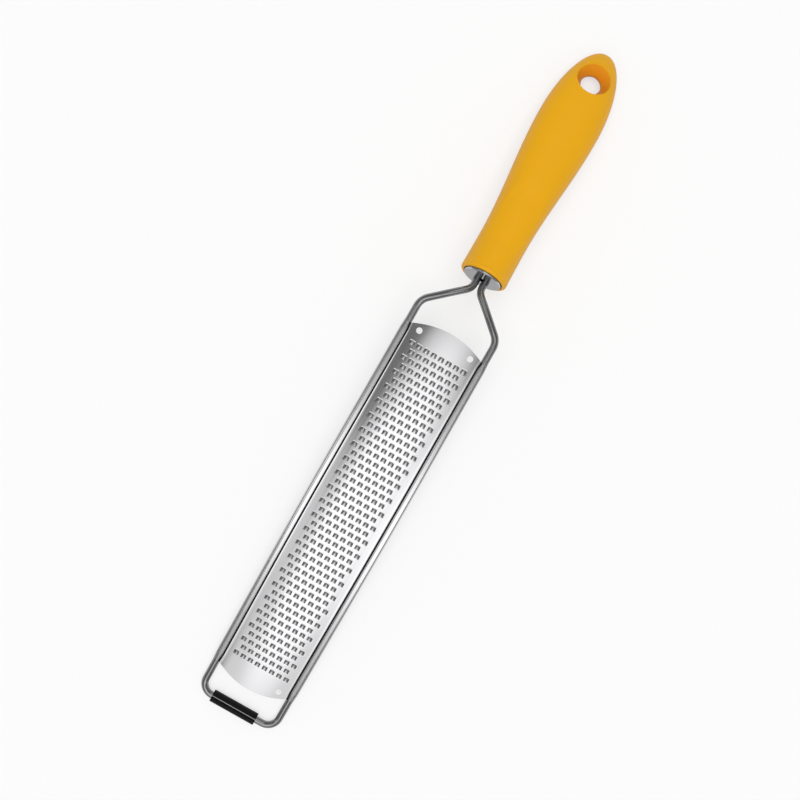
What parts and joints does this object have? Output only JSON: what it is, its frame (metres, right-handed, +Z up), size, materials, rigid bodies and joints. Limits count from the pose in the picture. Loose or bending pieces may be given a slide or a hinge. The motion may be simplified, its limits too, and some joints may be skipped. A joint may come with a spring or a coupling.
{
  "type": "hand grater",
  "caption": "Long narrow hand grater: an arched steel blade of raised teeth rolled onto a wire frame, with a bent neck, a plastic grip with a hanging hole and a rubber foot.",
  "frame": {"origin": "middle of the foot bar, on the flat underside of the rubber foot, where the tool touches the table", "axes": "+Y along the tool from the foot to the grip, +X across the blade, +Z up on the toothed side"},
  "size_m": [0.04, 0.3271, 0.0423],
  "materials": {
    "blade_steel": "bright satin sheet with raised etched teeth",
    "wire_steel": "drawn wire, polished along its length",
    "cap_steel": "mirror-polished disc",
    "core_plastic": "natural moulded plastic, hidden",
    "grip_plastic": "warm yellow, satin moulded",
    "foot_rubber": "black extruded rubber"
  },
  "bodies": {
    "root": {"grating_blade": "blade_steel", "wire_frame": "wire_steel", "ferrule_cap": "cap_steel", "handle_core": "core_plastic", "handle_grip": "grip_plastic", "foot_sleeve": "foot_rubber"}
  },
  "joints": []
}
